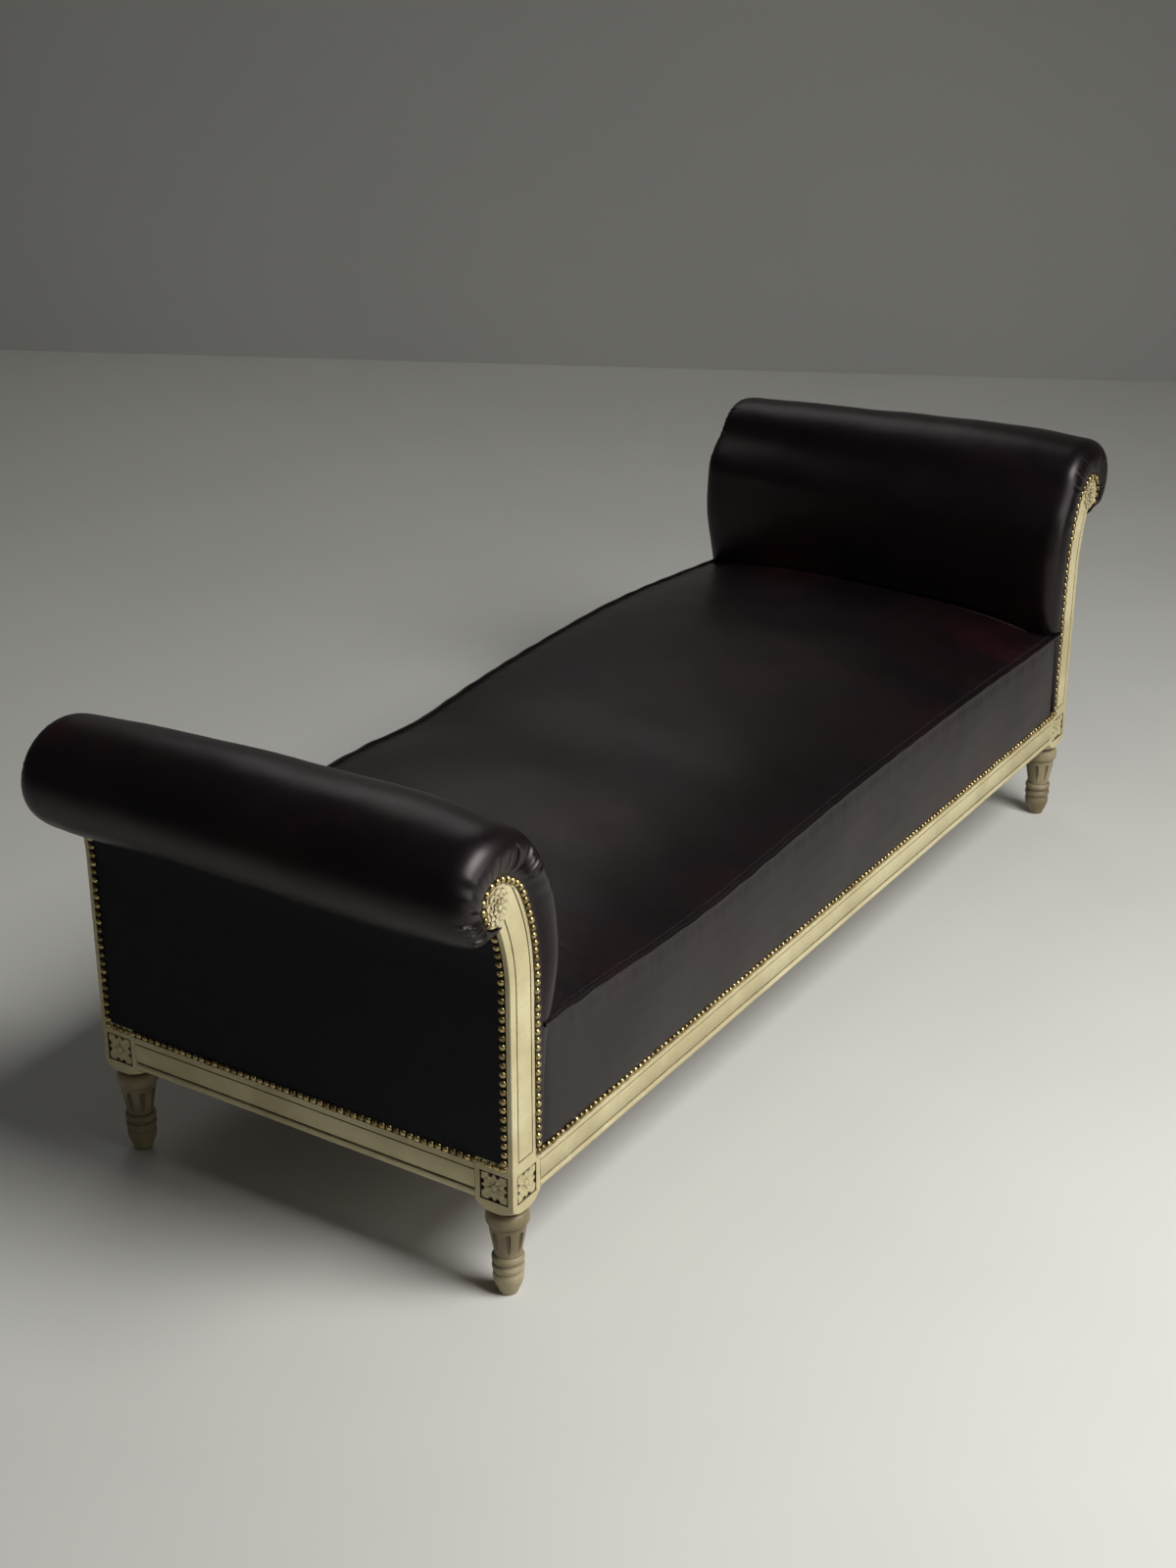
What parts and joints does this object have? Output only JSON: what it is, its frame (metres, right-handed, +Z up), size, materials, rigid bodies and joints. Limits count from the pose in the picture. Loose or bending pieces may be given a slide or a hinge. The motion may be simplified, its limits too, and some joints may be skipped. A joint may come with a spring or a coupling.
{
  "type": "daybed",
  "caption": "Two-ended upholstered daybed: painted frame with scrolled posts and turned fluted legs, sprung seat and stuffed rolls in dark leather.",
  "frame": {"origin": "centre of the length and width, on the floor", "axes": "+X along the daybed, -Y towards the front, +Z up"},
  "size_m": [1.9898, 0.685, 0.687],
  "materials": {
    "painted_wood": "worn ivory paint with brown patina in the grooves",
    "beech": "bare beech",
    "plum_leather": "semi-gloss, lightly creased",
    "slate_leather": "satin, stretched flat",
    "jute": "woven",
    "horsehair": "matt stuffing",
    "spring_steel": "drawn wire",
    "brass": "aged dome nails"
  },
  "bodies": {
    "root": {"post_front_left": "painted_wood", "leg_front_left": "painted_wood", "corner_brace_front_left": "beech", "post_back_left": "painted_wood", "leg_back_left": "painted_wood", "corner_brace_back_left": "beech", "post_front_right": "painted_wood", "leg_front_right": "painted_wood", "corner_brace_front_right": "beech", "post_back_right": "painted_wood", "leg_back_right": "painted_wood", "corner_brace_back_right": "beech", "rail_front": "painted_wood", "edge_roll_front": "horsehair", "border_front": "plum_leather", "rail_back": "painted_wood", "edge_roll_back": "horsehair", "border_back": "plum_leather", "end_rail_left": "painted_wood", "crest_rail_left": "beech", "tack_rail_left": "beech", "roll_stuffing_left": "horsehair", "roll_leather_left": "plum_leather", "outer_leather_left": "slate_leather", "stretcher_left": "beech", "end_rail_right": "painted_wood", "crest_rail_right": "beech", "tack_rail_right": "beech", "roll_stuffing_right": "horsehair", "roll_leather_right": "plum_leather", "outer_leather_right": "slate_leather", "stretcher_right": "beech", "webbing": "jute", "hessian": "jute", "seat_stuffing": "horsehair", "seat_leather": "plum_leather", "spring_front_1": "spring_steel", "spring_front_2": "spring_steel", "spring_front_3": "spring_steel", "spring_front_4": "spring_steel", "spring_front_5": "spring_steel", "spring_front_6": "spring_steel", "spring_front_7": "spring_steel", "spring_middle_1": "spring_steel", "spring_middle_2": "spring_steel", "spring_middle_3": "spring_steel", "spring_middle_4": "spring_steel", "spring_middle_5": "spring_steel", "spring_middle_6": "spring_steel", "spring_middle_7": "spring_steel", "spring_back_1": "spring_steel", "spring_back_2": "spring_steel", "spring_back_3": "spring_steel", "spring_back_4": "spring_steel", "spring_back_5": "spring_steel", "spring_back_6": "spring_steel", "spring_back_7": "spring_steel"}
  },
  "joints": []
}
